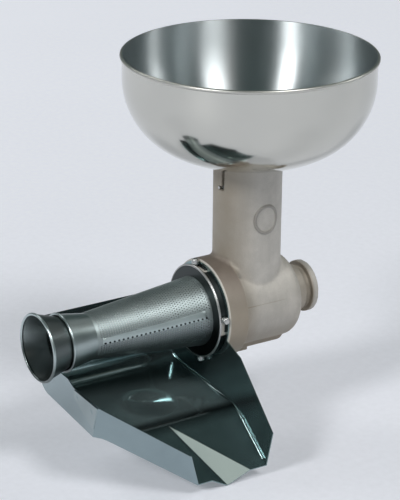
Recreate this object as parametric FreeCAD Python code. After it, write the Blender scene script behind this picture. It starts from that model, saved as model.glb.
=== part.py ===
import FreeCAD, Part
import math
import os

V = FreeCAD.Vector

# A motor-driven food mill head: hopper, cast body, auger, perforated strainer cone and drip tray.
# Millimetres, +Z up. The origin is the centre of the drive flange's rear face, and the auger turns
# about the Y axis: the drive comes in from +Y and the waste leaves towards -Y.

# Drive flange and hub of the casting
flange_radius = 25.5
flange_thickness = 6.5
clamp_groove_radius = 20.5
clamp_groove_width = 5.5
hub_radius = 23.5
hub_length = 27.0
hub_root_fillet = 3.0

# Barrel, collar and spigot of the casting
barrel_radius = 42.0
barrel_shoulder = 11.0
barrel_bore_radius = 34.5
barrel_end_wall = 10.0
neck_offset = 69.0
collar_reach = 50.0
collar_length = 21.8
collar_radius = 49.4
spigot_radius = 43.0
casting_edge = 1.5
flange_edge = 0.6

# Feed neck of the casting, and its badge and foot
neck_radius = 32.85
neck_bore_radius = 28.65
neck_top = 141.0
neck_fillet = 5.0
badge_height = 92.0
badge_width = 22.0
badge_tall = 28.0
badge_rim = 1.8
badge_relief = 0.6
rail_width = 32.0
rail_drop = 43.2
rail_length = 62.0
pad_width = 28.0
pad_drop = 47.5
pad_length = 22.0

# Drive train: shaft, bush, seal and washer
shaft_radius = 10.0
shaft_length = 128.0
shaft_recess = 2.0
drive_square = 11.0
drive_depth = 24.0
bush_wall = 4.0
bush_length = 26.0
bush_recess = 3.0
seal_radius = 17.0
seal_length = 6.0
washer_radius = 22.0
washer_thickness = 1.5
running_clearance = 0.05
end_float = 0.3

# Auger screw
auger_core_rear = 16.0
auger_core_nose = 11.0
auger_nose_gap = 4.0
auger_tip_gap = 0.9
flight_pitch = 38.0
flight_thickness = 5.0
flight_pieces_per_turn = 4
flight_steps = 6
cross_pin_radius = 2.5
cross_pin_from_rear = 24.0

# Strainer cone, flange cup and bayonet studs
sheet = 0.8
cone_small_radius = 22.3
cone_big_radius = 34.0
cone_length = 119.8
hole_radius = 1.6
hole_rows = 15
holes_per_row = 16
hole_margin = 7.0
cup_sheet = 1.2
cup_depth = 8.0
cup_bead = 1.2
fit_gap = 0.3
stud_radius = 2.0
stud_head_radius = 3.4
stud_head_height = 5.1
stud_bury = 6.0
stud_count = 4
stud_first_angle = 7.0
stud_setback = 4.6
slot_clearance = 0.15
cone_twist = 20.0

# Seam strip along the cone
seam_angle = 3.0
seam_spread = 15.0
seam_thickness = 0.8
seam_end_gap = 4.0
seam_rivet_radius = 1.2
seam_rivet_height = 0.5
seam_rivet_count = 14

# Flared sleeve and waste outlet
sleeve_length = 28.5
sleeve_mouth_radius = 27.2
sleeve_bead = 1.3
outlet_nest_start = 8.0
outlet_nest_end = 20.0
outlet_nest_gap = 0.05
outlet_throat_radius = 25.2
outlet_reach = 22.2
outlet_mouth_radius = 32.2
outlet_sheet = 0.9
outlet_bead = 1.4

# Hopper bowl, spigot tube and pins
bowl_radius = 119.4
bowl_bottom = 139.1
bowl_top = 246.6
bowl_dome_radius = 182.0
bowl_knuckle_radius = 75.5
bowl_sheet = 1.0
bowl_bead = 1.9
tube_wall = 1.2
tube_drop = 40.0
hopper_pin_radius = 1.5
hopper_pin_height = 120.3
hopper_pin_angle = 1.4
hopper_pin_proud = 0.4
hopper_pin_count = 2
hopper_twist = 9.1

# Drip tray
tray_sheet = 0.9
tray_back_top_x = 57.0
tray_back_top_z = 3.5
tray_fold_x = 52.5
tray_floor_drop = 71.9
tray_floor_fall = 0.065
tray_fold_radius = 14.0
spout_bend_x = 59.7
spout_bend_radius = 12.0
spout_fall = 0.757
spout_reach = 114.4
spout_rake = 0.259
spout_width = 75.0
spout_wall_height = 36.4
spout_wall_flare = 14.0
front_wall_reach = 148.0
front_wall_skew = 0.054
front_wall_lean = 0.13
front_corner_x = 51.0
front_top_drop = 37.0
front_notch_radius = 32.0
front_notch_end_x = 22.0
rear_ring_radius = 47.5
rear_shoulder_x = 67.8
rear_shoulder_drop = 25.5
groove_start_x = 63.5
groove_start_y = 76.0
groove_side_near = 18.0
groove_side_far = 60.0
groove_tip = 39.0
groove_depth = 14.0
tab_left_x = 24.0
tab_low_x = 46.0
tab_low_drop = 61.5
tab_side_drop = 46.7
tab_rivet_radius = 1.6
tab_rivet_height = 0.7

# Places along the auger axis
neck_y = -neck_offset
collar_face_y = neck_y - collar_reach
collar_back_y = collar_face_y + collar_length
hub_front_y = -hub_length
bore_end_y = hub_front_y - barrel_end_wall
rear_plate_y = collar_face_y - tray_sheet
cup_back_y = rear_plate_y - fit_gap
cup_face_y = cup_back_y - cup_depth
spigot_front_y = cup_face_y + cup_sheet + fit_gap
stud_y = cup_face_y + stud_setback
cone_big_y = cup_face_y + cup_sheet
cone_small_y = cone_big_y - cone_length
sleeve_front_y = cone_small_y - sleeve_length
washer_y = bore_end_y - washer_thickness
auger_back_y = washer_y - end_float
auger_nose_y = cone_small_y + auger_nose_gap
far = 900.0


def place_on_axis(r, y):
    return V(r, y, 0)


def place_on_neck(r, z):
    return V(r, neck_y, z)


def section_at(y):
    return lambda x, z: V(x, y, z)


def rounded_path(plane, corners, closed):
    """Edges through (u, v, radius) corners, each rounded by an arc of its radius where that isn't 0."""
    count = len(corners)
    stops = []
    for index, (u, v, radius) in enumerate(corners):
        here = V(u, v, 0)
        inner = closed or 0 < index < count - 1
        if radius == 0 or not inner:
            stops.append((here, None, here))
            continue
        before = V(*corners[index - 1][:2], 0)
        after = V(*corners[(index + 1) % count][:2], 0)
        back = (before - here).normalize()
        ahead = (after - here).normalize()
        half = back.getAngle(ahead) / 2
        bisector = (back + ahead).normalize()
        reach = radius / math.tan(half)
        middle = here + bisector * (radius / math.sin(half) - radius)
        stops.append((here + back * reach, middle, here + ahead * reach))
    made = []
    for index, (start, middle, end) in enumerate(stops):
        if middle:
            points = [plane(point.x, point.y) for point in (start, middle, end)]
            made.append(Part.Arc(*points).toShape())
        if index == count - 1 and not closed:
            break
        following = stops[(index + 1) % count][0]
        if end.distanceToPoint(following) > 1e-6:
            line = Part.LineSegment(plane(end.x, end.y), plane(following.x, following.y))
            made.append(line.toShape())
    return made


def rounded_face(plane, corners):
    return Part.Face(Part.Wire(rounded_path(plane, corners, True)))


def turned(corners):
    """A solid turned about the auger axis from (radius, y, corner radius) corners."""
    return rounded_face(place_on_axis, corners).revolve(V(0, 0, 0), V(0, 1, 0), 360)


def turned_about_neck(face):
    return face.revolve(V(0, neck_y, 0), V(0, 0, 1), 360)


def prism(corners, start_y, end_y):
    """A plate with its (x, z, corner radius) outline in the XZ plane, from start_y to end_y."""
    return rounded_face(section_at(start_y), corners).extrude(V(0, end_y - start_y, 0))


def axis_cylinder(radius, start_y, end_y):
    return Part.makeCylinder(radius, abs(end_y - start_y), V(0, min(start_y, end_y), 0), V(0, 1, 0))


def radial(angle):
    """The direction at an angle about the auger axis, from +X towards +Z."""
    turn = math.radians(angle)
    return V(math.cos(turn), 0, math.sin(turn))


def half_space(point, normal):
    """A block that fills the side of a plane that its normal points to."""
    block = Part.makeBox(2 * far, 2 * far, far, V(-far, -far, 0))
    block.Placement = FreeCAD.Placement(point, FreeCAD.Rotation(V(0, 0, 1), normal))
    return block


def sector(solid, start_angle, spread):
    """The share of a solid that lies between two angles about the auger axis."""
    wedge = Part.makeCylinder(far, 2 * far, V(0, -far, 0), V(0, 1, 0), spread)
    turn = first_angle(wedge, spread)
    wedge.rotate(V(0, 0, 0), V(0, 1, 0), turn - start_angle)
    return solid.common(wedge)


def first_angle(wedge, spread):
    """Where a wedge about the Y axis starts, from +X towards +Z."""
    centre = wedge.CenterOfMass
    return math.degrees(math.atan2(centre.z, centre.x)) - spread / 2


def fused(shapes):
    return shapes[0].multiFuse(shapes[1:]).removeSplitter()


def cone_radius(y):
    """Outer radius of the strainer cone at a place along the axis."""
    share = (y - cone_small_y) / cone_length
    return cone_small_radius + (cone_big_radius - cone_small_radius) * share


def sleeve_radius(y):
    """Inner radius of the flared sleeve at a place along the axis."""
    share = (cone_small_y - y) / sleeve_length
    return cone_small_radius - sheet + (sleeve_mouth_radius - cone_small_radius) * share


# Casting

def casting_outside():
    body = turned([
        (0, 0, 0),
        (flange_radius, 0, 0),
        (flange_radius, -flange_thickness, flange_edge),
        (clamp_groove_radius, -flange_thickness, 1),
        (clamp_groove_radius, -flange_thickness - clamp_groove_width, 1),
        (hub_radius, -flange_thickness - clamp_groove_width, 1),
        (hub_radius, hub_front_y, hub_root_fillet),
        (barrel_radius, hub_front_y, barrel_shoulder),
        (barrel_radius, collar_back_y, 0),
        (collar_radius, collar_back_y, casting_edge),
        (collar_radius, collar_face_y, casting_edge),
        (spigot_radius, collar_face_y, 0),
        (spigot_radius, spigot_front_y, 0),
        (0, spigot_front_y, 0)])
    neck = Part.makeCylinder(neck_radius, neck_top, V(0, neck_y, 0))
    whole = fused([body, neck])
    root = [edge for edge in whole.Edges if is_neck_root(edge)]
    whole = whole.makeFillet(neck_fillet, root)
    return fused([whole, casting_rail(), casting_badge()])


def is_neck_root(edge):
    """Whether an edge is where the neck's wall meets the barrel or the collar."""
    count = 9
    first, last = edge.ParameterRange
    for index in range(count):
        point = edge.valueAt(first + (last - first) * index / (count - 1))
        off_wall = abs(math.hypot(point.x, point.y - neck_y) - neck_radius)
        if off_wall > 0.01 or not 0 < point.z < neck_top - 1:
            return False
    return edge.Length > 1


def casting_rail():
    """The flat foot under the barrel, with a deeper pad behind the collar."""
    rail_y = collar_back_y + rail_length
    rail = Part.makeBox(rail_width, rail_length, rail_drop, V(-rail_width / 2, collar_back_y, -rail_drop))
    pad = Part.makeBox(pad_width, pad_length, pad_drop, V(-pad_width / 2, collar_back_y, -pad_drop))
    low = [edge for edge in rail.Edges if edge.BoundBox.ZMax < 0.01 - rail_drop]
    end = [edge for edge in low if edge.BoundBox.YMin > rail_y - 0.01]
    rail = rail.makeFillet(barrel_shoulder / 2, end)
    return fused([rail, pad])


def casting_badge():
    """A plain oval rim raised on the neck's side, with nothing inside it."""
    def oval(inset):
        tall = badge_tall / 2 - inset
        wide = badge_width / 2 - inset
        ellipse = Part.Ellipse(V(0, neck_y, badge_height), tall, wide)
        ellipse.Axis = V(1, 0, 0)
        ellipse.XAxis = V(0, 0, 1)
        return Part.Face(Part.Wire(ellipse.toShape())).extrude(V(2 * neck_radius, 0, 0))
    rim = oval(0).cut(oval(badge_rim))
    skin = Part.makeCylinder(neck_radius + badge_relief, neck_top, V(0, neck_y, 0))
    core = Part.makeCylinder(neck_radius - 1, neck_top, V(0, neck_y, 0))
    return rim.common(skin.cut(core))


def casting_inside():
    barrel = axis_cylinder(barrel_bore_radius, spigot_front_y, bore_end_y)
    throat = Part.makeCylinder(neck_bore_radius, neck_top, V(0, neck_y, 0))
    seal_seat = axis_cylinder(seal_radius, bore_end_y, bore_end_y + seal_length)
    bush_seat = axis_cylinder(shaft_radius + running_clearance + bush_wall, bore_end_y, 0)
    return fused([barrel, throat, seal_seat, bush_seat])


def hopper_slot(angle):
    """An L-shaped slot down from the neck's rim, with its foot ending at an angle from -Y towards +X."""
    half = hopper_pin_radius + slot_clearance
    wall = neck_radius - neck_bore_radius + 4
    inner = neck_bore_radius - 2

    def hole(turn):
        way = V(math.sin(math.radians(turn)), -math.cos(math.radians(turn)), 0)
        start = V(0, neck_y, hopper_pin_height) + way * inner
        return Part.makeCylinder(half, wall, start, way)

    leg = Part.makeBox(2 * half, wall, neck_top, V(-half, -inner - wall, 0))
    leg.rotate(V(0, 0, 0), V(0, 0, 1), angle + hopper_twist)
    leg.translate(V(0, neck_y, hopper_pin_height))
    strip = Part.makePlane(wall, 2 * half, V(inner, 0, -half), V(0, -1, 0), V(1, 0, 0))
    foot = strip.revolve(V(0, 0, 0), V(0, 0, 1), hopper_twist)
    foot.rotate(V(0, 0, 0), V(0, 0, 1), angle - 90)
    foot.translate(V(0, neck_y, hopper_pin_height))
    return fused([leg, foot, hole(angle), hole(angle + hopper_twist)])


def hopper_pin_angles():
    return [hopper_pin_angle + 360 * index / hopper_pin_count for index in range(hopper_pin_count)]


def stud_angles():
    return [stud_first_angle + 360 * index / stud_count for index in range(stud_count)]


def bayonet_stud(angle):
    """A headed stud that stands out of the spigot through the flange cup's slot."""
    way = radial(angle)
    head_start = spigot_radius + fit_gap + cup_sheet + cup_bead + fit_gap
    foot = V(0, stud_y, 0) + way * (spigot_radius - stud_bury)
    shank = Part.makeCylinder(stud_radius, head_start - spigot_radius + stud_bury, foot, way)
    head = Part.makeCylinder(stud_head_radius, stud_head_height, V(0, stud_y, 0) + way * head_start, way)
    crown = [edge for edge in head.Edges if far_edge(edge, way, head_start + stud_head_height)]
    return shank.fuse(head.makeFillet(stud_head_radius / 2, crown))


def far_edge(edge, way, distance):
    return edge.Closed and abs(edge.CenterOfMass.dot(way) - distance) < 0.01


def body_casting():
    casting = casting_outside().cut(casting_inside())
    for angle in hopper_pin_angles():
        casting = casting.cut(hopper_slot(angle))
    return casting.cut(Part.makeCompound([bayonet_stud(angle) for angle in stud_angles()]))


# Drive train

def rear_bush():
    outer = shaft_radius + running_clearance + bush_wall
    start = -bush_recess - bush_length
    return axis_cylinder(outer, start, -bush_recess).cut(
        axis_cylinder(shaft_radius + running_clearance, start, -bush_recess))


def shaft_seal():
    end = bore_end_y + seal_length
    return axis_cylinder(seal_radius, bore_end_y, end).cut(
        axis_cylinder(shaft_radius + running_clearance, bore_end_y, end))


def thrust_washer():
    return axis_cylinder(washer_radius, washer_y, bore_end_y).cut(
        axis_cylinder(shaft_radius + running_clearance, washer_y, bore_end_y))


def cross_pin():
    y = auger_back_y - cross_pin_from_rear
    return Part.makeCylinder(cross_pin_radius, 2 * auger_core_rear, V(0, y, -auger_core_rear))


def auger_shaft():
    end = -shaft_recess - shaft_length
    shaft = axis_cylinder(shaft_radius, end, -shaft_recess)
    half = drive_square / 2
    corner = V(-half, -shaft_recess - drive_depth, -half)
    socket = Part.makeBox(drive_square, drive_depth, drive_square, corner)
    return shaft.cut(socket).cut(cross_pin())


def tip_radius(y):
    """Radius of the flight's edge at a place along the axis, clear of the barrel and the cone."""
    return min(cone_big_radius, cone_radius(y)) - sheet - auger_tip_gap


def flight_start_y():
    return auger_nose_y + flight_thickness


def flight_edge(start, end, side, radius_at):
    """A helical edge on one side of the flight (-1 front, 1 rear), between two places along the axis."""
    points = []
    for step in range(flight_steps + 1):
        middle = start + (end - start) * step / flight_steps
        y = middle + side * flight_thickness / 2
        turn = 360 * (middle - flight_start_y()) / flight_pitch
        points.append(radial(turn) * radius_at(y) + V(0, y, 0))
    curve = Part.BSplineCurve()
    curve.interpolate(points)
    return curve.toShape()


def flight_piece(start, end):
    """A short length of the flight, rooted inside the core."""
    root = (shaft_radius + auger_core_nose) / 2
    edges = [
        flight_edge(start, end, -1, lambda y: root),
        flight_edge(start, end, -1, tip_radius),
        flight_edge(start, end, 1, tip_radius),
        flight_edge(start, end, 1, lambda y: root)]
    faces = []
    for index, edge in enumerate(edges):
        faces.append(Part.makeRuledSurface(edge, edges[(index + 1) % len(edges)]))
    for which in (0, -1):
        points = [edge.Vertexes[which].Point for edge in edges]
        faces.append(Part.Face(Part.makePolygon(points + points[:1])))
    piece = Part.makeSolid(Part.makeShell(faces))
    if piece.Volume < 0:
        piece.reverse()
    return piece


def auger_screw():
    """A tapered core with a rear disc and one helical flight."""
    disc = barrel_bore_radius - auger_tip_gap
    core = turned([
        (0, auger_back_y, 0),
        (disc, auger_back_y, 1),
        (disc, auger_back_y - flight_thickness, 1),
        (auger_core_rear, auger_back_y - flight_thickness, 3),
        (auger_core_rear, collar_face_y, 0),
        (auger_core_nose, auger_nose_y, 3),
        (0, auger_nose_y, 0)])
    start = flight_start_y()
    end = auger_back_y - flight_thickness / 2
    count = math.ceil(flight_pieces_per_turn * (end - start) / flight_pitch)
    step = (end - start) / count
    flight = [flight_piece(start + step * index, start + step * (index + 1)) for index in range(count)]
    bore = axis_cylinder(shaft_radius, -shaft_recess - shaft_length, auger_back_y)
    return core.multiFuse(flight).cut(bore).cut(cross_pin())


# Strainer

def cone_solid(extra):
    """The cone's outside, filled, made thicker all over by extra."""
    return turned([
        (0, cone_big_y, 0),
        (cone_big_radius + extra, cone_big_y, 0),
        (cone_small_radius + extra, cone_small_y, 0),
        (0, cone_small_y, 0)])


def strainer_cone():
    wall = cone_solid(0).cut(cone_solid(-sheet))
    step = (cone_length - 2 * hole_margin) / (hole_rows - 1)
    drills = []
    for row in range(hole_rows):
        y = cone_small_y + hole_margin + row * step
        for index in range(holes_per_row):
            angle = seam_angle + 360 * (index + 0.5 + 0.5 * (row % 2)) / holes_per_row
            turn = (angle - seam_angle + 180) % 360 - 180
            if abs(turn) < seam_spread / 2 + 5:
                continue
            drills.append(Part.makeCylinder(hole_radius, cone_big_radius + 1, V(0, y, 0), radial(angle)))
    return wall.cut(Part.makeCompound(drills))


def seam_strip():
    strip = cone_solid(seam_thickness).cut(cone_solid(0))
    kept = axis_cylinder(far, cone_small_y + seam_end_gap, cup_face_y - seam_end_gap)
    return sector(strip, seam_angle - seam_spread / 2, seam_spread).common(kept)


def seam_rivets():
    start = cone_small_y + 2 * seam_end_gap
    step = (cup_face_y - 2 * seam_end_gap - start) / (seam_rivet_count - 1)
    angle = seam_angle + seam_spread / 4
    heads = []
    for index in range(seam_rivet_count):
        y = start + index * step
        top = cone_radius(y) + seam_thickness + seam_rivet_height
        pin = Part.makeCylinder(seam_rivet_radius, top, V(0, y, 0), radial(angle))
        heads.append(pin.cut(cone_solid(seam_thickness)))
    return Part.makeCompound(heads)


def cone_flange():
    """The cup that carries the cone, with an L-shaped slot for each bayonet stud."""
    inner = spigot_radius + fit_gap
    outer = inner + cup_sheet
    cup = turned([
        (0, cup_face_y, 0),
        (outer, cup_face_y, cup_sheet),
        (outer, cup_back_y, 0),
        (inner, cup_back_y, 0),
        (inner, cup_face_y + cup_sheet, 0),
        (0, cup_face_y + cup_sheet, 0)])
    bead = Part.makeTorus(outer, cup_bead, V(0, cup_face_y + cup_bead, 0), V(0, 1, 0))
    hollow = axis_cylinder(inner, cup_face_y + cup_sheet, cup_back_y)
    cup = cup.fuse(bead.cut(hollow))
    half = stud_radius + slot_clearance
    band = axis_cylinder(outer + 5, stud_y - half, stud_y + half).cut(
        axis_cylinder(inner - 1, stud_y - half, stud_y + half))
    for angle in stud_angles():
        cup = cup.cut(sector(band, angle - cone_twist, cone_twist))
        for end in (angle, angle - cone_twist):
            cup = cup.cut(Part.makeCylinder(half, far, V(0, stud_y, 0), radial(end)))
        leg = Part.makeBox(far, cup_back_y - stud_y + 1, 2 * half, V(0, stud_y, -half))
        leg.rotate(V(0, 0, 0), V(0, 1, 0), cone_twist - angle)
        cup = cup.cut(leg)
    reach = 2 * cup_sheet
    passage = turned([
        (0, cup_face_y - reach, 0),
        (cone_radius(cup_face_y - reach), cup_face_y - reach, 0),
        (cone_radius(cone_big_y + reach), cone_big_y + reach, 0),
        (0, cone_big_y + reach, 0)])
    return cup.cut(passage)


def front_sleeve():
    mouth = sleeve_mouth_radius - sheet
    sleeve = turned([
        (cone_small_radius - sheet, cone_small_y, 0),
        (cone_small_radius, cone_small_y, 0),
        (sleeve_mouth_radius, sleeve_front_y, 0),
        (mouth, sleeve_front_y, 0)])
    bead = Part.makeTorus(sleeve_mouth_radius, sleeve_bead, V(0, sleeve_front_y + sleeve_bead, 0), V(0, 1, 0))
    inside = turned([
        (0, cone_small_y, 0),
        (cone_small_radius - sheet, cone_small_y, 0),
        (mouth, sleeve_front_y, 0),
        (0, sleeve_front_y, 0)])
    return sleeve.fuse(bead.cut(inside))


def waste_outlet():
    """A funnel whose tail nests in the sleeve and whose mouth flares out in front."""
    nest_y = cone_small_y - outlet_nest_start
    leave_y = cone_small_y - outlet_nest_end
    mouth_y = sleeve_front_y - outlet_reach
    tail = sleeve_radius(nest_y) - outlet_nest_gap
    leave = sleeve_radius(leave_y) - outlet_nest_gap
    funnel = turned([
        (tail - outlet_sheet, nest_y, 0),
        (tail, nest_y, 0),
        (leave, leave_y, 0),
        (outlet_throat_radius, sleeve_front_y, 4),
        (outlet_mouth_radius, mouth_y, 0),
        (outlet_mouth_radius - outlet_sheet, mouth_y, 0),
        (outlet_throat_radius - outlet_sheet, sleeve_front_y, 4),
        (leave - outlet_sheet, leave_y, 0)])
    rim = Part.makeTorus(outlet_mouth_radius - outlet_sheet / 2, outlet_bead, V(0, mouth_y, 0), V(0, 1, 0))
    return funnel.fuse(rim)


# Hopper

def bowl_corners(offset):
    """The bowl's profile from rim to axis, moved inwards by offset: two end points and two arcs."""
    wall = bowl_radius - offset
    knuckle = bowl_knuckle_radius - offset
    dome = bowl_dome_radius - offset
    dome_z = bowl_bottom + bowl_dome_radius
    knuckle_r = wall - knuckle
    knuckle_z = dome_z - math.sqrt((dome - knuckle) ** 2 - knuckle_r ** 2)
    meet = math.atan2(knuckle_r, dome_z - knuckle_z)
    half = (math.pi / 2 + meet) / 2
    return {
        "rim": (wall, bowl_top),
        "wall_end": (wall, knuckle_z),
        "knuckle_mid": (knuckle_r + knuckle * math.sin(half), knuckle_z - knuckle * math.cos(half)),
        "knuckle_end": (dome * math.sin(meet), dome_z - dome * math.cos(meet)),
        "dome_mid": (dome * math.sin(meet / 2), dome_z - dome * math.cos(meet / 2)),
        "bottom": (0, dome_z - dome)}


def bowl_filled(offset):
    """The space that the bowl's outside encloses, moved inwards by offset."""
    at = {name: place_on_neck(*point) for name, point in bowl_corners(offset).items()}
    middle = place_on_neck(0, bowl_top)
    edges = [
        Part.LineSegment(middle, at["rim"]).toShape(),
        Part.LineSegment(at["rim"], at["wall_end"]).toShape(),
        Part.Arc(at["wall_end"], at["knuckle_mid"], at["knuckle_end"]).toShape(),
        Part.Arc(at["knuckle_end"], at["dome_mid"], at["bottom"]).toShape(),
        Part.LineSegment(at["bottom"], middle).toShape()]
    return turned_about_neck(Part.Face(Part.Wire(edges)))


def tube_radius():
    return neck_bore_radius - running_clearance


def hopper_bowl():
    bowl = bowl_filled(0).cut(bowl_filled(bowl_sheet))
    bead = Part.makeTorus(bowl_radius, bowl_bead, V(0, neck_y, bowl_top - bowl_bead))
    bead = bead.cut(bowl_filled(bowl_sheet))
    drain = Part.makeCylinder(tube_radius() - tube_wall, bowl_top, V(0, neck_y, 0))
    return bowl.fuse(bead).cut(drain)


def hopper_pin(angle):
    way = V(math.sin(math.radians(angle)), -math.cos(math.radians(angle)), 0)
    inner = tube_radius() - tube_wall
    start = V(0, neck_y, hopper_pin_height) + way * inner
    return Part.makeCylinder(hopper_pin_radius, neck_radius + hopper_pin_proud - inner, start, way)


def hopper_pins():
    bore = Part.makeCylinder(tube_radius() - tube_wall, bowl_top, V(0, neck_y, 0))
    return Part.makeCompound([hopper_pin(angle).cut(bore) for angle in hopper_pin_angles()])


def hopper_tube():
    low = bowl_bottom - tube_drop
    tube = Part.makeCylinder(tube_radius(), bowl_top - low, V(0, neck_y, low))
    tube = tube.cut(Part.makeCylinder(tube_radius() - tube_wall, bowl_top, V(0, neck_y, 0)))
    return tube.cut(bowl_filled(0)).cut(hopper_pins())


# Drip tray

def floor_z(x):
    return -tray_floor_drop - tray_floor_fall * x


def slope_z(x):
    return floor_z(spout_bend_x) - spout_fall * (x - spout_bend_x)


def spout_end_x(z):
    """Where the raked end of the spout lies at a height."""
    return spout_reach + (z - slope_z(spout_reach)) * spout_rake


def tray_line(offset):
    """Corners of the bent sheet from the back wall's top to the spout, moved outwards by offset."""
    beyond = spout_reach + 30
    line = [(-tray_back_top_x, tray_back_top_z), (-tray_fold_x, floor_z(-tray_fold_x)),
            (spout_bend_x, floor_z(spout_bend_x)), (beyond, slope_z(beyond))]
    ways = []
    for start, end in zip(line, line[1:]):
        ways.append(V(end[0] - start[0], 0, end[1] - start[1]).normalize())
    moved = []
    for index, (x, z) in enumerate(line):
        before = ways[max(index - 1, 0)]
        after = ways[min(index, len(ways) - 1)]
        out_before = V(before.z, 0, -before.x)
        out_after = V(after.z, 0, -after.x)
        mitre = (out_before + out_after).normalize()
        reach = offset / mitre.dot(out_before)
        moved.append((x + mitre.x * reach, z + mitre.z * reach))
    radii = [0, tray_fold_radius + offset, spout_bend_radius + tray_sheet - offset, 0]
    return [(x, z, radius) for (x, z), radius in zip(moved, radii)]


def front_wall_point(x, z):
    """A point of the front wall's inner face, which leans out and is a little skew to the axis."""
    lean = front_wall_lean * (z + tray_floor_drop)
    return V(x, collar_face_y - front_wall_reach - front_wall_skew * x - lean, z)


def front_wall_planes(offset):
    """Point and outward normal of the front wall's two flats, moved outwards by offset."""
    flat_normal = V(-front_wall_skew, -1, -front_wall_lean).normalize()
    corner = front_wall_point(front_corner_x, floor_z(front_corner_x))
    low = V(spout_reach, rear_plate_y - spout_width, slope_z(spout_reach))
    high_z = low.z + spout_wall_height
    high = V(spout_end_x(high_z), low.y - spout_wall_flare, high_z)
    angled_normal = (low - corner).cross(high - low).normalize()
    return [(corner + flat_normal * offset, flat_normal), (low + angled_normal * offset, angled_normal)]


def spout_end():
    point = V(spout_reach, 0, slope_z(spout_reach))
    return half_space(point, V(1, 0, -spout_rake))


def tray_space(offset):
    """What lies in front of the rear plate, inside the front wall moved outwards by offset."""
    space = Part.makeBox(2 * far, far, 2 * far, V(-far, rear_plate_y - far, -far))
    for point, normal in front_wall_planes(offset):
        space = space.cut(half_space(point, normal))
    return space.cut(spout_end())


def tray_sheet_solid():
    inner = tray_line(0)
    outer = tray_line(tray_sheet)
    return prism(inner + outer[::-1], rear_plate_y, rear_plate_y - far / 2)


def groove_points():
    """The spout's pressed groove: where it starts, its two sides and its bottom, past the spout's end."""
    start = V(groove_start_x, rear_plate_y - groove_start_y, slope_z(groove_start_x))
    ends = []
    for across, depth in ((groove_side_near, 0), (groove_tip, groove_depth), (groove_side_far, 0)):
        end = V(spout_reach, rear_plate_y - across, slope_z(spout_reach) - depth)
        ends.append(start + (end - start) * 1.2)
    return [start] + ends


def groove_facet(points):
    drop = V(0, 0, -tray_sheet * math.hypot(1, spout_fall))
    return Part.Face(Part.makePolygon(points + points[:1])).extrude(drop)


def tray_pan():
    """Back wall, floor and spout as one bent sheet, with a groove pressed into the spout."""
    start, near, tip, far_side = groove_points()
    gap = Part.Face(Part.makePolygon([V(p.x, p.y, -far) for p in (start, near, far_side, start)]))
    pan = tray_sheet_solid().cut(gap.extrude(V(0, 0, 2 * far)))
    groove = [groove_facet([start, near, tip]), groove_facet([start, tip, far_side])]
    return fused([pan] + groove).common(tray_space(0))


def crease_top():
    """Where the front wall's two flats meet at its top edge."""
    (flat, flat_normal), (angled, angled_normal) = front_wall_planes(0)
    way = flat_normal.cross(angled_normal)
    corner = front_wall_point(front_corner_x, floor_z(front_corner_x))
    return corner + way * ((-front_top_drop - corner.z) / way.z)


def spout_corner_top():
    """The top of the front wall at the spout's end, as x and z."""
    z = slope_z(spout_reach) + spout_wall_height
    return spout_end_x(z), z


def front_wall_outline():
    """The front wall seen along the axis: under it the pan, above it the cradle for the sleeve."""
    under = tray_line(tray_sheet)
    crease = crease_top()
    end_x, end_z = spout_corner_top()
    fall = (end_z + front_top_drop) / (end_x - crease.x)
    beyond = under[-1][0]
    top = [
        (beyond, end_z + fall * (beyond - end_x), 0),
        (crease.x, -front_top_drop, 0),
        (front_notch_end_x, -front_top_drop, 3),
        (front_notch_end_x - 10, -front_notch_radius, 3),
        (0, -front_notch_radius, 0),
        (-front_notch_radius, -front_notch_radius, front_notch_radius - 1),
        (-front_notch_radius, tray_back_top_z, 2)]
    return under + top


def tray_front_plate():
    wall = tray_space(tray_sheet).cut(tray_space(0))
    plate = prism(front_wall_outline(), rear_plate_y, rear_plate_y - far / 2).common(wall)
    return plate.cut(Part.makeCompound(tab_rivet_shanks()))


def tray_rear_plate():
    under = tray_line(tray_sheet)
    end_x, end_z = spout_corner_top()
    fall = (end_z + rear_shoulder_drop) / (end_x - rear_shoulder_x)
    beyond = under[-1][0]
    top = [
        (beyond, end_z + fall * (beyond - end_x), 0),
        (rear_shoulder_x, -rear_shoulder_drop, 8),
        (0, 0, 0)]
    sheet_outline = prism(under + top + [(0, tray_back_top_z, 0)], collar_face_y, rear_plate_y)
    ring = axis_cylinder(rear_ring_radius, rear_plate_y, collar_face_y)
    bore = axis_cylinder(spigot_radius + running_clearance, rear_plate_y, collar_face_y)
    return fused([sheet_outline, ring]).cut(bore).cut(spout_end())


def tab_corners():
    crease = crease_top()
    corner = front_wall_point(front_corner_x, floor_z(front_corner_x))
    share = (tab_low_drop + 5 + crease.z) / (crease.z - corner.z)
    low = crease + (corner - crease) * share
    return [(crease.x, -front_top_drop - 1), (tab_left_x, -front_top_drop - 1),
            (tab_left_x - 2, -tab_side_drop), (tab_low_x, -tab_low_drop), (low.x, low.z)]


def tab_space():
    """The layer just outside the front wall's first flat, one sheet thick."""
    (point, normal), angled = front_wall_planes(tray_sheet)
    layer = half_space(point, normal).cut(half_space(point + normal * tray_sheet, normal))
    (far_point, far_normal) = angled
    return layer.cut(half_space(far_point, far_normal))


def tray_corner_tab():
    outline = [(x, z, 1.5) for x, z in tab_corners()]
    tab = prism(outline, rear_plate_y, rear_plate_y - far / 2).common(tab_space())
    return tab.cut(Part.makeCompound(tab_rivet_shanks()))


def tab_rivet_places():
    left = front_wall_point(tab_left_x + 5, -tab_side_drop + 3)
    right = front_wall_point(front_corner_x + 6, -tab_side_drop)
    return [left, right]


def tab_rivet_shanks():
    normal = front_wall_planes(0)[0][1]
    reach = 2 * tray_sheet
    return [Part.makeCylinder(tab_rivet_radius, reach, point, normal) for point in tab_rivet_places()]


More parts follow.
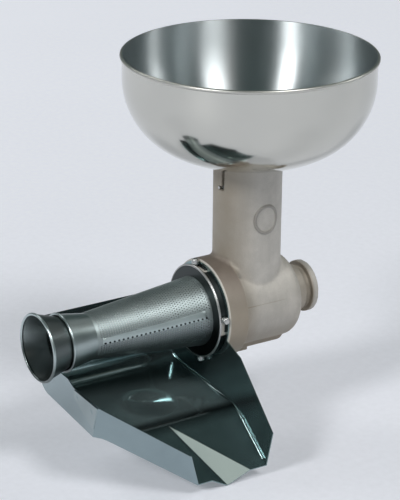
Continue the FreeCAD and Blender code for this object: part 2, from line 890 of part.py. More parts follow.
def tab_rivets():
    normal = front_wall_planes(0)[0][1]
    rivets = []
    for point, shank in zip(tab_rivet_places(), tab_rivet_shanks()):
        base = point + normal * 2 * tray_sheet
        head = Part.makeCone(2 * tab_rivet_radius, tab_rivet_radius, tab_rivet_height, base, normal)
        rivets.append(shank.fuse(head).removeSplitter())
    return Part.makeCompound(rivets)


def main():
    nodes = {
        "body_casting": body_casting(),
        "bayonet_studs": Part.makeCompound([bayonet_stud(angle) for angle in stud_angles()]),
        "rear_bush": rear_bush(),
        "shaft_seal": shaft_seal(),
        "thrust_washer": thrust_washer(),
        "auger_shaft": auger_shaft(),
        "auger_screw": auger_screw(),
        "auger_cross_pin": cross_pin(),
        "strainer_cone": strainer_cone(),
        "cone_flange": cone_flange(),
        "seam_strip": seam_strip(),
        "seam_rivets": seam_rivets(),
        "front_sleeve": front_sleeve(),
        "waste_outlet": waste_outlet(),
        "hopper_bowl": hopper_bowl(),
        "hopper_tube": hopper_tube(),
        "hopper_pins": hopper_pins(),
        "tray_pan": tray_pan(),
        "tray_front_plate": tray_front_plate(),
        "tray_rear_plate": tray_rear_plate(),
        "tray_corner_tab": tray_corner_tab(),
        "tab_rivets": tab_rivets()}
    os.makedirs("parts", exist_ok=True)
    for name, shape in nodes.items():
        shape.exportStep("parts/" + name + ".step")
        print(name, len(shape.Solids), round(shape.Volume, 1), shape.isValid())


main()
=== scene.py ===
"""Dresses a motor-driven food mill head: hopper, casting, strainer cone, waste outlet and drip tray."""

import math

import bmesh
import bpy
from bpy.props import FloatProperty, FloatVectorProperty, IntProperty, PointerProperty
from mathutils import Matrix, Vector


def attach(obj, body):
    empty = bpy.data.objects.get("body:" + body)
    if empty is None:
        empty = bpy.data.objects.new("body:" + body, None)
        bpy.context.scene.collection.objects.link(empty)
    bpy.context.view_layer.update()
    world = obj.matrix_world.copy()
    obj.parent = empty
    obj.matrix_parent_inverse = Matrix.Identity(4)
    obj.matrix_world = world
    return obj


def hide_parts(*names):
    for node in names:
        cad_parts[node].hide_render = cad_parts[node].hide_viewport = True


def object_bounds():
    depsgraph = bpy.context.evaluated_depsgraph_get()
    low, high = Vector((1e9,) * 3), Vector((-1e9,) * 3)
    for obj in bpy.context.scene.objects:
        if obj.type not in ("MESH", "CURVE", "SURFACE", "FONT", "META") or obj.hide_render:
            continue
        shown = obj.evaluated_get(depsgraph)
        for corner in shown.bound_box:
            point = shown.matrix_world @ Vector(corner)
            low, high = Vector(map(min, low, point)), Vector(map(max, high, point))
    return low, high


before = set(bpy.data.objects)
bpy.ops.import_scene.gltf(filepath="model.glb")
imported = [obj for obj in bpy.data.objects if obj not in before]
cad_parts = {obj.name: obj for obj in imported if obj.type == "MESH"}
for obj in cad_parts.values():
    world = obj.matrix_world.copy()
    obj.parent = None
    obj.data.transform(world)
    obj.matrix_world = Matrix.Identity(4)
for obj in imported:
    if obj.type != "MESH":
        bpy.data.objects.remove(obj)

CAD_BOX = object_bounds()
MM = 0.001
FULL_TURN = 2 * math.pi

# Places along the auger's axis, and radii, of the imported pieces, in millimetres
NECK_Y = -69.0
FLANGE_BACK_Y = -4.0
BARREL_BACK_Y = -42.0
COLLAR_BACK_Y = -97.5
COLLAR_EDGE_Y = -117.6
CUP_BEAD_Y = -125.7
CUP_BEAD_RADIUS = 43.9
SLEEVE_EDGE_Y = -272.4
SLEEVE_EDGE_RADIUS = 27.2
FUNNEL_START_Y = -275.3
FUNNEL_START_RADIUS = 24.75
FUNNEL_FLARE = 0.315
OUTLET_EDGE_Y = -296.4
PARTING_Z = 9.8
CASTING_VOXEL = 0.8

# The strainer's seam: degrees at its start, and degrees gained to the millimetre along the axis
SEAM_START_Y = -131.5
SEAM_START_TURN = 8.8
SEAM_TWIST = 0.093
LAP_START_Y = -134.0
LAP_LENGTH = 108.5
SPOT_START_Y = -135.0
SPOT_PITCH = 4.55
SPOT_COUNT = 24

# The pan's inside corners (x, z), from its back wall to its spout, and the hollow in its floor
PAN_CORNERS = [(-54.0, -40.0), (-52.5, -68.5), (59.7, -75.8), (113.6, -116.6)]
PAN_BEND_X = 60.0
DENT_CENTRE = (20, -191, -73)
DENT_REACH = 30.0

LAMP_DISTANCE = 9.0
FLOOR_REACH = 7.0
SENSOR_WIDTH = 36.0

bl_info = {
    "name": "Food mill head",
    "version": (1, 0, 0),
    "blender": (4, 5, 0),
    "location": "View3D > Sidebar > Food mill",
    "description": "Builds the looks of a food mill head around its packed model",
    "category": "Object",
}


class MillSizes(bpy.types.PropertyGroup):
    """Sizes of the dressed pieces, in millimetres unless a description says otherwise."""

    bowl_radius: FloatProperty(name="Bowl radius", description="Outer radius of the bowl's wall",
                               default=119.35)
    bowl_bottom: FloatProperty(name="Bowl bottom", description="Height of the bowl's lowest point",
                               default=139.1)
    bowl_top: FloatProperty(name="Bowl top", description="Height of the rim", default=246.6)
    dome_radius: FloatProperty(name="Dome radius", description="Radius of the bowl's base",
                               default=182.0)
    knuckle_radius: FloatProperty(name="Knuckle radius", description="Radius between base and wall",
                                  default=75.5)
    bowl_sheet: FloatProperty(name="Bowl sheet", description="Thickness of the bowl", default=1.0)
    rim_bead: FloatProperty(name="Rim bead", description="Radius of the rolled rim", default=1.9)
    drain_radius: FloatProperty(name="Drain radius", description="Radius of the hole in the bowl",
                                default=27.4)
    cone_big: FloatProperty(name="Cone big end", description="Outer radius at the flange", default=34.0)
    cone_small: FloatProperty(name="Cone small end", description="Outer radius at the sleeve",
                              default=22.3)
    cone_big_y: FloatProperty(name="Cone start", description="Place of the big end along the axis",
                              default=-127.0)
    cone_length: FloatProperty(name="Cone length", description="Length along the axis", default=119.8)
    sheet: FloatProperty(name="Sheet", description="Thickness of the strainer's sheet", default=0.8)
    hole_radius: FloatProperty(name="Hole radius", description="Radius of the strainer's holes",
                               default=0.62)
    hole_rows: IntProperty(name="Hole rows", description="Rows of holes along the cone", default=48)
    holes_around: IntProperty(name="Holes around", description="Holes in each row", default=74)
    neck_radius: FloatProperty(name="Neck radius", description="Outer radius of the feed neck",
                               default=32.85)
    badge_height: FloatProperty(name="Badge height", description="Height of the badge's middle",
                                default=92.0)
    badge_width: FloatProperty(name="Badge width", description="Width of the badge's ring",
                               default=23.5)
    badge_tall: FloatProperty(name="Badge tall", description="Height of the badge's ring", default=26.5)
    badge_bead: FloatProperty(name="Badge bead", description="Radius of the badge's ring", default=1.7)
    fold_radius: FloatProperty(name="Fold radius", description="Radius of the tray's rear fold",
                               default=3.2)
    rear_plate_y: FloatProperty(name="Rear plate", description="Place of the tray's rear plate",
                                default=-119.9)


class MillFinishes(bpy.types.PropertyGroup):
    """Colours of the finishes."""

    casting: FloatVectorProperty(name="Casting", description="Tinned casting", subtype="COLOR",
                                 default=(0.505, 0.48, 0.44))
    hopper: FloatVectorProperty(name="Hopper", description="Satin hopper steel", subtype="COLOR",
                                default=(0.585, 0.58, 0.54))
    hopper_inside: FloatVectorProperty(name="Hopper inside", description="Drawn steel inside",
                                       subtype="COLOR", default=(0.62, 0.66, 0.67))
    strainer: FloatVectorProperty(name="Strainer", description="Dull strainer steel", subtype="COLOR",
                                  default=(0.325, 0.375, 0.375))
    tray: FloatVectorProperty(name="Tray", description="Bright tray sheet", subtype="COLOR",
                              default=(0.29, 0.365, 0.385))
    tray_inside: FloatVectorProperty(name="Tray inside", description="Tray sheet inside", subtype="COLOR",
                                     default=(0.265, 0.355, 0.36))
    tray_tab: FloatVectorProperty(name="Tray tab", description="Folded tab of the tray", subtype="COLOR",
                                  default=(0.33, 0.40, 0.41))
    steel: FloatVectorProperty(name="Steel", description="Turned steel", subtype="COLOR",
                               default=(0.55, 0.55, 0.54))
    bronze: FloatVectorProperty(name="Bronze", description="Bearing bronze", subtype="COLOR",
                                default=(0.55, 0.38, 0.17))
    rubber: FloatVectorProperty(name="Rubber", description="Seal rubber", subtype="COLOR",
                                default=(0.02, 0.02, 0.02))
    plastic: FloatVectorProperty(name="Plastic", description="Moulded screw", subtype="COLOR",
                                 default=(0.75, 0.75, 0.71))
    floor: FloatVectorProperty(name="Floor", description="Pale studio floor", subtype="COLOR",
                               default=(0.675, 0.685, 0.735))


class MillView(bpy.types.PropertyGroup):
    """Where the camera stands."""

    azimuth: FloatProperty(name="Azimuth", description="Degrees from the front towards the spout",
                           default=57.09)
    elevation: FloatProperty(name="Elevation", description="Degrees above the floor", default=21.22)
    roll: FloatProperty(name="Roll", description="Degrees of tilt", default=0.6)
    distance: FloatProperty(name="Distance", description="From the target, in millimetres",
                            default=2062.6)
    lens: FloatProperty(name="Lens", description="Focal length for a 36 mm sensor", unit="CAMERA",
                        default=156.68)
    target: FloatVectorProperty(name="Target", description="Where it looks, in millimetres",
                                subtype="XYZ", default=(-1.89, -120.85, 60.14))


class Value:
    """A socket of a node tree that Python's operators work on."""

    def __init__(self, tree, socket=None):
        self.tree = tree
        self.socket = socket

    def node(self, kind, settings=None, inputs=None, output=0):
        """Adds a node of a kind, sets it up, feeds its sockets and gives one of its outputs."""
        made = self.tree.nodes.new(kind)
        for name, setting in (settings or {}).items():
            if name == "stops":
                set_stops(made.color_ramp, setting)
            else:
                setattr(made, name, setting)
        for name, fed in (inputs or {}).items():
            if isinstance(fed, Value):
                self.tree.links.new(fed.socket, made.inputs[name])
            else:
                made.inputs[name].default_value = fed
        return Value(self.tree, made.outputs[output]) if made.outputs else Value(self.tree)

    def math(self, operation, *operands):
        """A maths node on this value, or on the operands given."""
        return self.node("ShaderNodeMath", {"operation": operation}, dict(enumerate(operands or (self,))))

    def __add__(self, other):
        return self.math("ADD", self, other)

    def __radd__(self, other):
        return self.math("ADD", other, self)

    def __sub__(self, other):
        return self.math("SUBTRACT", self, other)

    def __rsub__(self, other):
        return self.math("SUBTRACT", other, self)

    def __mul__(self, other):
        return self.math("MULTIPLY", self, other)

    def __rmul__(self, other):
        return self.math("MULTIPLY", other, self)

    def __truediv__(self, other):
        return self.math("DIVIDE", self, other)

    def __rtruediv__(self, other):
        return self.math("DIVIDE", other, self)

    def clamp(self):
        """This value kept between 0 and 1."""
        return self.node("ShaderNodeClamp", {}, {"Value": self, "Min": 0.0, "Max": 1.0})

    def rise(self, start, end):
        """Goes from 0 where this value is at the start to 1 where it is at the end."""
        return ((self - start) / (end - start)).clamp()

    def mix(self, first, second):
        """Blends two colours by this value."""
        return self.node("ShaderNodeMix", {"data_type": "RGBA"}, {0: self, 6: first, 7: second}, 2)


def set_stops(ramp, stops):
    """Sets a colour ramp's (place, colour) stops."""
    while len(ramp.elements) > 1:
        ramp.elements.remove(ramp.elements[-1])
    ramp.elements[0].position, ramp.elements[0].color = stops[0]
    for place, colour in stops[1:]:
        ramp.elements.new(place).color = colour


def opaque(colour, level=1.0):
    """A colour at a level, as the four numbers that a colour socket takes."""
    return tinted(colour, (level, level, level))


def tinted(colour, tint):
    """A colour times a tint, as the four numbers that a colour socket takes."""
    return (colour[0] * tint[0], colour[1] * tint[1], colour[2] * tint[2], 1.0)


def finishes():
    """The colours set in the sidebar."""
    return bpy.context.scene.mill_finishes


def sizes():
    """The sizes set in the sidebar."""
    return bpy.context.scene.mill_sizes


class Finish:
    """A material being made: its tree, its coordinates and its shader."""

    def __init__(self, name):
        self.material = bpy.data.materials.new(name)
        self.material.use_nodes = True
        self.tree = self.material.node_tree
        self.shader = self.tree.nodes["Principled BSDF"]
        self.start = Value(self.tree)
        self.place = self.start.node("ShaderNodeTexCoord", output="Object")

    def set(self, **constants):
        """Sets constants on the shader's sockets."""
        for name, constant in constants.items():
            self.shader.inputs[name.replace("_", " ")].default_value = constant

    def feed(self, name, value):
        """Links a varying value to one of the shader's sockets."""
        self.tree.links.new(value.socket, self.shader.inputs[name])

    def noise(self, scale, detail=3.0, place=None):
        """Even noise from 0 to 1, with a scale in grains to the metre."""
        inputs = {"Vector": place or self.place, "Scale": scale, "Detail": detail, "Roughness": 0.55}
        return self.start.node("ShaderNodeTexNoise", {}, inputs)

    def stretched(self, stretch):
        """The coordinates stretched by a factor on each axis."""
        settings = {"operation": "MULTIPLY"}
        return self.start.node("ShaderNodeVectorMath", settings, {0: self.place, 1: stretch})

    def along(self, axis):
        """The coordinate along one axis, in millimetres."""
        return self.start.node("ShaderNodeSeparateXYZ", {}, {"Vector": self.place}, axis) / MM

    def dent(self, centre, reach):
        """A round hollow: 1 at its centre, 0 beyond its reach, both in millimetres."""
        inputs = {0: self.place, 1: Vector(centre) * MM}
        far = self.start.node("ShaderNodeVectorMath", {"operation": "DISTANCE"}, inputs, "Value")
        near = far.rise(reach * MM, 0)
        return near * near * (3 - 2 * near)

    def bump(self, height, distance, strength=1.0):
        """Raises the surface by a height from 0 to 1 times a distance in metres."""
        inputs = {"Height": height, "Distance": distance, "Strength": strength}
        self.feed("Normal", self.start.node("ShaderNodeBump", {}, inputs))


def cast_finish(name, level):
    """Tinned casting: warm grey, sandy grain, darker patches, painted shade and a painted highlight."""
    made = Finish(name)
    base = opaque(finishes().casting, level)
    cloud = made.noise(28, 4)
    grain = made.noise(900, 2)
    patch = ((made.noise(75, 5) - 0.42) * 3).clamp()
    streak = made.noise(1.0, 3, made.stretched((150, 150, 16)))
    spread = cloud * 0.3 + patch * 0.2 + streak * 0.25 + grain * 0.25
    tone = spread.mix(opaque(base, 0.62), opaque(base, 1.34))
    brown = tinted(base, (0.62, 0.56, 0.48))
    dark = tinted(base, (0.34, 0.29, 0.26))
    along = made.along("Y")
    height = made.along("Z")
    # Browner towards the drive end, with painted shade on the flange's front face
    drive_end_brown_and_shade = along.rise(BARREL_BACK_Y, 3.5) * (0.75 + cloud * 0.4) * along.rise(FLANGE_BACK_Y, -6.5)
    # Painted shade on the neck's waste side and on the collar
    waste_side_shade = along.rise(-78, -100) * (0.5 + cloud * 0.6)
    # Painted shade, darker towards the bottom
    underside_shade = height.rise(30, -61) * 0.45 + height.rise(-12, -34) * 0.6
    parting = (height - PARTING_Z).math("ABSOLUTE").rise(0.7, 0)
    parting = parting * along.rise(-95, -94) * along.rise(-48, -56)
    shade_and_parting_tone = (drive_end_brown_and_shade + waste_side_shade + underside_shade + parting * 0.5).clamp().mix(tone, brown)
    # Darker towards the collar's top, in blotches
    collar = along.rise(COLLAR_BACK_Y, COLLAR_BACK_Y - 2) * height.rise(54, 50)
    blotches = collar * height.rise(8, 39) * (0.35 + cloud * 0.9).clamp()
    # Painted highlight along the collar's front edge
    edge = along.rise(COLLAR_EDGE_Y, COLLAR_EDGE_Y - 0.7) * 0.7
    made.feed("Base Color", edge.mix(blotches.mix(shade_and_parting_tone, dark), opaque(base, 1.5)))
    made.feed("Roughness", 0.46 + cloud * 0.16)
    made.set(Metallic=0.3)
    made.bump(grain * 0.7 + made.noise(300, 2) * 0.6, 0.0004, 0.8)
    return made.material


def spun_finish(name, base, roughness, ring_depth, drawn):
    """Satin steel, spun: fine rings around the neck's axis and faint smears."""
    made = Finish(name)
    rings = made.noise(1.0, 2, made.stretched((6, 6, 2600)))
    smear = made.noise(22, 3)
    made.feed("Base Color", smear.mix(opaque(base, 0.94), opaque(base, 1.03)))
    made.feed("Roughness", roughness + rings * 0.04 + smear * 0.04)
    made.set(Metallic=1.0, Anisotropic=drawn, Anisotropic_Rotation=0.25)
    made.bump(rings, ring_depth * MM, 1.0)
    return made.material


def strainer_finish(name, level, roughness):
    """Dull dark steel with rolling lines along the axis, stains, and painted shade on its lower side."""
    made = Finish(name)
    base = finishes().strainer
    lines = made.noise(1.0, 3, made.stretched((700, 30, 700)))
    blotches = made.noise(45, 4)
    tone = (blotches * 0.7 + lines * 0.3).mix(opaque(base, 0.78 * level), opaque(base, 1.18 * level))
    # Painted shade, darker towards the bottom
    underside_shade = made.along("Z").rise(3.3, -13.3)
    made.feed("Base Color", underside_shade.mix(tone, opaque(base, 0.3 * level)))
    made.feed("Roughness", roughness + blotches * 0.14)
    made.set(Metallic=1.0)
    made.bump(lines * 0.6 + blotches * 0.4, 0.00008, 0.5)
    return made.material


def tray_finish(name, base, roughness, dent_depth=0.0, film_and_bend_shade=0.0):
    """Bright rolled sheet with soft waves, scratches and splashes; the pan has a dent, a dull film and
    painted shade.
    """
    made = Finish(name)
    waves = made.noise(16, 2)
    scratches = made.noise(1.0, 2, made.stretched((60, 900, 60)))
    marks = made.noise(60, 5)
    across = made.along("X")
    height = made.along("Z")
    # Painted shade along the pan's bend, dimming the bend's highlight
    bend = (across - PAN_BEND_X).math("ABSOLUTE").rise(11, 0) * height.rise(0, -25)
    tone = marks.mix(opaque(base, 0.88), opaque(base, 1.06))
    made.feed("Base Color", (bend * film_and_bend_shade).mix(tone, opaque(base, 0.1)))
    made.feed("Roughness", roughness + marks * 0.08 + scratches * 0.03)
    film = across.rise(PAN_BEND_X + 2, PAN_BEND_X - 6.3) * height.rise(-58, -64.7)
    made.feed("Metallic", 0.94 - film * (film_and_bend_shade * 0.16))
    dent = made.dent(DENT_CENTRE, DENT_REACH)
    made.bump(waves * 0.45 + dent * dent_depth, MM, 1.0)
    return made.material


def turned_finish(name, colour, metallic, roughness):
    """A small piece: turning marks, a little tone and a fine bump."""
    made = Finish(name)
    tone = made.noise(140, 3)
    marks = made.noise(1.0, 2, made.stretched((300, 1500, 300)))
    made.feed("Base Color", tone.mix(opaque(colour, 0.85), opaque(colour, 1.1)))
    made.feed("Roughness", roughness + marks * 0.12)
    made.set(Metallic=metallic)
    made.bump(marks, 0.00005, 0.4)
    return made.material


def arc(centre, radius, start, end, steps):
    """Points of an arc from one angle to another, in degrees."""
    points = []
    for step in range(steps + 1):
        turn = math.radians(start + (end - start) * step / steps)
        points.append((centre[0] + radius * math.cos(turn), centre[1] + radius * math.sin(turn)))
    return points


def line(start, end, steps):
    """Points along a straight run, without its last one."""
    shares = [step / steps for step in range(steps)]
    return [(start[0] + (end[0] - start[0]) * s, start[1] + (end[1] - start[1]) * s) for s in shares]


def about_axis(radius, along, turn):
    """A point about the auger's axis, in millimetres to metres."""
    return Vector((radius * math.cos(turn), along, radius * math.sin(turn))) * MM


def about_neck(radius, along, turn):
    """A point about the neck's axis, in millimetres to metres."""
    return Vector((radius * math.cos(turn), NECK_Y + radius * math.sin(turn), along)) * MM


def new_piece(name, points, faces, material, body, replaced=()):
    """Makes a mesh piece that rides on a body and stands for its CAD nodes."""
    mesh = bpy.data.meshes.new(name)
    mesh.from_pydata([tuple(point) for point in points], [], faces)
    piece = bpy.data.objects.new(name, mesh)
    bpy.context.scene.collection.objects.link(piece)
    work = bmesh.new()
    work.from_mesh(mesh)
    bmesh.ops.recalc_face_normals(work, faces=work.faces)
    work.to_mesh(mesh)
    work.free()
    dress(piece, material)
    smooth(mesh, 40)
    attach(piece, body)
    if replaced:
        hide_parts(*replaced)
    return piece


def dress(piece, material):
    """Gives a piece one finish."""
    piece.data.materials.clear()
    piece.data.materials.append(material)


def smooth(mesh, angle):
    """Shades smooth, with edges sharper than the angle kept sharp."""
    mesh.shade_smooth()
    mesh.set_sharp_from_angle(angle=math.radians(angle))


def lathe(loop, place, segments):
    """Points and faces of a closed outline turned right round."""
    points = []
    for segment in range(segments):
        turn = FULL_TURN * segment / segments
        points += [place(radius, along, turn) for radius, along in loop]
    return points, ring_faces(segments, len(loop))


def ring_faces(segments, count):
    """Faces of a closed ring of sections with the same count of points each."""
    faces = []
    for segment in range(segments):
        here = segment * count
        there = (segment + 1) % segments * count
        for index in range(count):
            after = (index + 1) % count
            faces.append((here + index, here + after, there + after, there + index))
    return faces


def carry(names, material):
    """Gives carried-over nodes a finish."""
    for name in names:
        dress(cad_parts[name], material)


def brighten(name, material, reached):
    """Gives one more finish to those faces of a carried node whose radius and place pass a test."""
    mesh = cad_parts[name].data
    mesh.materials.append(material)
    for face in mesh.polygons:
        x, along, z = face.center / MM
        if reached(math.hypot(x, z), along):
            face.material_index = len(mesh.materials) - 1


class MILL_OT_casting(bpy.types.Operator):
    """Softens the casting's edges as a foundry would, and finishes it"""
    bl_idname = "mill.casting"
    bl_label = "Body casting"

    def execute(self, context):
        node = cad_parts["body_casting"]
        mesh = node.data.copy()
        piece = bpy.data.objects.new("cast_body", mesh)
        context.scene.collection.objects.link(piece)
        remesh = piece.modifiers.new("grain", "REMESH")
        remesh.mode = "VOXEL"
        remesh.voxel_size = CASTING_VOXEL * MM
        soften = piece.modifiers.new("soften", "SMOOTH")
        soften.factor = 0.5
        soften.iterations = 5
        apply_modifiers(piece)
        dress(piece, cast_finish("tinned_casting", 1.0))
        piece.data.shade_smooth()
        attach(piece, "body")
        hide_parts("body_casting")
        points, faces = badge_ring(sizes())
        new_piece("badge_ring", points, faces, cast_finish("badge_casting", 0.66), "body")
        return {"FINISHED"}


def badge_ring(size):
    """The raised oval ring of the bare badge on the neck."""
    points = []
    sides = 72
    corners = 8
    for side in range(sides):
        way = FULL_TURN * side / sides
        for corner in range(corners):
            bend = FULL_TURN * corner / corners
            reach = size.badge_bead * math.cos(bend)
            turn = (size.badge_width / 2 + reach) * math.cos(way) / size.neck_radius
            height = size.badge_height + (size.badge_tall / 2 + reach) * math.sin(way)
            points.append(about_neck(size.neck_radius + size.badge_bead * math.sin(bend), height, turn))
    return points, ring_faces(sides, corners)


def apply_modifiers(piece):
    """Bakes a piece's modifiers into its mesh."""
    graph = bpy.context.evaluated_depsgraph_get()
    graph.update()
    baked = bpy.data.meshes.new_from_object(piece.evaluated_get(graph))
    piece.modifiers.clear()
    piece.data = baked


class MILL_OT_hopper(bpy.types.Operator):
    """Spins the hopper bowl with its rolled rim, and finishes its tube and pins"""
    bl_idname = "mill.hopper"
    bl_label = "Hopper"

    def execute(self, context):
        size = sizes()
        outer = bowl_side(size, 0)
        inner = bowl_side(size, size.bowl_sheet)
        bead_z = size.bowl_top - size.rim_bead
        bead = arc((size.bowl_radius, bead_z), size.rim_bead, -86, 120, 22)
        loop = outer + bead + inner[::-1]
        points, faces = lathe(loop, about_neck, 224)
        steel = spun_finish("spun_outside", finishes().hopper, 0.08, 0.006, 0.3)
        bowl = new_piece("hopper_shell", points, faces, steel, "hopper", ["hopper_bowl"])
        bowl.data.materials.append(spun_finish("spun_inside", finishes().hopper_inside, 0.36, 0.01, 1.0))
        bowl.data.materials.append(spun_finish("rolled_rim", finishes().hopper, 0.36, 0.004, 0.3))
        rim_end = len(outer) + len(bead) - 2
        for face in bowl.data.polygons:
            step = face.index % len(loop)
            if step >= rim_end:
                face.material_index = 1
            elif step >= len(outer):
                face.material_index = 2
        carry(["hopper_tube"], turned_finish("tube_steel", finishes().steel, 0.5, 0.5))
        carry(["hopper_pins"], turned_finish("pin_steel", finishes().steel, 1.0, 0.3))
        return {"FINISHED"}


def bowl_side(size, offset):
    """The bowl's outline from its drain to under its rim, moved inwards by offset."""
    wall = size.bowl_radius - offset
    knuckle = size.knuckle_radius - offset
    dome = size.dome_radius - offset
    dome_z = size.bowl_bottom + size.dome_radius
    knuckle_r = wall - knuckle
    knuckle_z = dome_z - math.sqrt((dome - knuckle) ** 2 - knuckle_r ** 2)
    meet = math.degrees(math.atan2(knuckle_r, dome_z - knuckle_z))
    drain = math.degrees(math.asin(size.drain_radius / dome))
    base = arc((0, dome_z), dome, drain - 90, meet - 90, 18)[:-1]
    turn_up = arc((knuckle_r, knuckle_z), knuckle, meet - 90, 0, 30)[:-1]
    return base + turn_up + line((wall, knuckle_z), (wall, size.bowl_top - 2 * size.rim_bead), 6)


class MILL_OT_strainer(bpy.types.Operator):
    """Punches the strainer cone's holes and lays the lapped seam along it"""
    bl_idname = "mill.strainer"
    bl_label = "Strainer cone"

    def execute(self, context):
        size = sizes()
        steel = strainer_finish("strainer_steel", 1.16, 0.42)
        points, faces = punched_cone(size)
        cone = new_piece("punched_cone", points, faces, steel, "strainer", ["strainer_cone"])
        wall = cone.modifiers.new("wall", "SOLIDIFY")
        wall.thickness = size.sheet * MM
        wall.offset = -1.0
        apply_modifiers(cone)
        smooth(cone.data, 30)
        points, faces = seam_lap(size)
        lap = strainer_finish("seam_steel", 1.7, 0.36)
        new_piece("seam_lap", points, faces, lap, "strainer", ["seam_strip"])
        points, faces = seam_spots(size)
        spot = strainer_finish("seam_spot_steel", 0.12, 0.4)
        new_piece("seam_spots", points, faces, spot, "strainer", ["seam_rivets"])
        return {"FINISHED"}


def cone_radius(size, along):
    """Outer radius of the cone at a place along the axis."""
    share = (size.cone_big_y - along) / size.cone_length
    return size.cone_big + (size.cone_small - size.cone_big) * share


def seam_turn(along, across=0.0):
    """Turn of the seam's lower edge at a place along the axis, plus some degrees across it."""
    return math.radians(SEAM_START_TURN + SEAM_TWIST * (along - SEAM_START_Y) + across)


def seam_lap(size):
    """The lapped strip along the cone, standing proud of it, as a closed skin."""
    points = []
    stations = 40
    section = [(0, -0.2), (0, 0.75), (0.6, 0.8), (7, 0.55), (13, 0.3), (14, -0.2)]
    for station in range(stations + 1):
        along = LAP_START_Y - LAP_LENGTH * station / stations
        ends = station in (0, stations)
        for across, lift in section:
            proud = -0.2 if ends else lift
            points.append(about_axis(cone_radius(size, along) + proud, along, seam_turn(along, across)))
    return swept(points, len(section))


def swept(points, count):
    """Closed faces over sections of the same count, one after another, with capped ends."""
    faces = [tuple(range(count)), tuple(range(len(points) - count, len(points)))]
    for start in range(0, len(points) - count, count):
        for index in range(count):
            after = (index + 1) % count
            faces.append((start + index, start + after, start + count + after, start + count + index))
    return points, faces


def seam_spots(size):
    """A row of low round spots beside the seam's edge."""
    points = []
    faces = []
    corners = 10
    for spot in range(SPOT_COUNT):
        along = SPOT_START_Y - SPOT_PITCH * spot
        radius = cone_radius(size, along)
        first = len(points)
        for reach, lift in ((1.35, 0.3), (1.1, 0.85), (0.5, 1.0)):
            for corner in range(corners):
                way = FULL_TURN * corner / corners
                turn = seam_turn(along, 1.6) + reach * 0.8 * math.sin(way) / radius
                points.append(about_axis(radius + lift, along + reach * math.cos(way), turn))
        top = first + 2 * corners
        for low in (first, first + corners):
            high = low + corners
            for corner in range(corners):
                after = (corner + 1) % corners
                faces.append((low + corner, low + after, high + after, high + corner))
        faces.append(tuple(range(first, first + corners)))
        faces.append(tuple(range(top, top + corners)))
    return points, faces


def punched_cone(size):
    """The cone's sheet as staggered cells, each with an eight-sided hole, plain along the seam."""
    rows = size.hole_rows
    around = size.holes_around
    pitch = size.cone_length / rows
    step = FULL_TURN / around
    points = []
    rings = []
    for edge in range(rows + 1):
        along = size.cone_big_y - pitch * edge
        radius = cone_radius(size, along)
        rings.append([len(points) + k for k in range(2 * around)])
        points += [about_axis(radius, along, step * k / 2) for k in range(2 * around)]
    faces = []
    for row in range(rows):
        along = size.cone_big_y - pitch * (row + 0.5)
        radius = cone_radius(size, along)
        shift = row % 2
        sides = []
        for column in range(around):
            sides.append(len(points))
            points.append(about_axis(radius, along, step * (column + shift / 2)))
        for column in range(around):
            first = 2 * column + shift
            near = [rings[row][(first + k) % (2 * around)] for k in range(3)]
            beyond = [rings[row + 1][(first + k) % (2 * around)] for k in range(3)]
            border = [near[0], near[1], near[2], sides[(column + 1) % around],
                      beyond[2], beyond[1], beyond[0], sides[column]]
            turn = step * (column + 0.5 + shift / 2)
            from_seam = abs((turn - seam_turn(along, 7) + math.pi) % FULL_TURN - math.pi)
            if from_seam < 0.14 or row in (0, rows - 1):
                faces.append(tuple(border))
                continue
            hole = []
            for corner in range(8):
                way = math.radians(-135 + 45 * corner)
                spread = size.hole_radius / radius
                off = size.hole_radius * math.sin(way)
                hole.append(len(points))
                place = along - off
                points.append(about_axis(cone_radius(size, place), place, turn + spread * math.cos(way)))
            for corner in range(8):
                after = (corner + 1) % 8
                faces.append((border[corner], border[after], hole[after], hole[corner]))
    return points, faces


class MILL_OT_outlet(bpy.types.Operator):
    """Finishes the flared sleeve and the waste outlet with their rolled edges"""
    bl_idname = "mill.outlet"
    bl_label = "Sleeve and waste outlet"

    def execute(self, context):
        carry(["front_sleeve"], strainer_finish("sleeve_steel", 1.3, 0.26))
        # The outlet's outside is a copy at half the level of its flare's inside: painted shade
        carry(["waste_outlet"], strainer_finish("outlet_steel_shaded", 0.5, 0.32))
        funnel = strainer_finish("funnel_steel", 1.0, 0.3)
        brighten("waste_outlet", funnel, in_funnel)
        # The rolled edges of the sleeve and the outlet get a lighter copy: painted highlight
        edge = strainer_finish("rolled_edge_highlight", 1.5, 0.24)
        brighten("front_sleeve", edge, beyond(SLEEVE_EDGE_RADIUS, SLEEVE_EDGE_Y))
        brighten("waste_outlet", edge, beyond(0, OUTLET_EDGE_Y))
        return {"FINISHED"}


def in_funnel(radius, along):
    """Whether a place lies on the inside of the waste outlet's flare."""
    return radius < FUNNEL_START_RADIUS - FUNNEL_FLARE * (along - FUNNEL_START_Y)


def beyond(least_radius, start):
    """A test for places wider than a radius and in front of a start along the axis."""
    return lambda radius, along: radius > least_radius and along < start


class MILL_OT_cup(bpy.types.Operator):
    """Finishes the flange cup and its bayonet studs"""
    bl_idname = "mill.cup"
    bl_label = "Flange cup and studs"

    def execute(self, context):
        # The cup's face is darkened far below the strainer's steel: painted shade
        carry(["cone_flange"], strainer_finish("cup_steel_shaded", 0.17, 0.26))
        # Its bead keeps a lighter turned steel: painted highlight
        edge = turned_finish("cup_bead_highlight", finishes().steel, 1.0, 0.3)
        brighten("cone_flange", edge, beyond(CUP_BEAD_RADIUS, CUP_BEAD_Y))
        carry(["bayonet_studs"], turned_finish("stud_steel", finishes().steel, 1.0, 0.3))
        return {"FINISHED"}


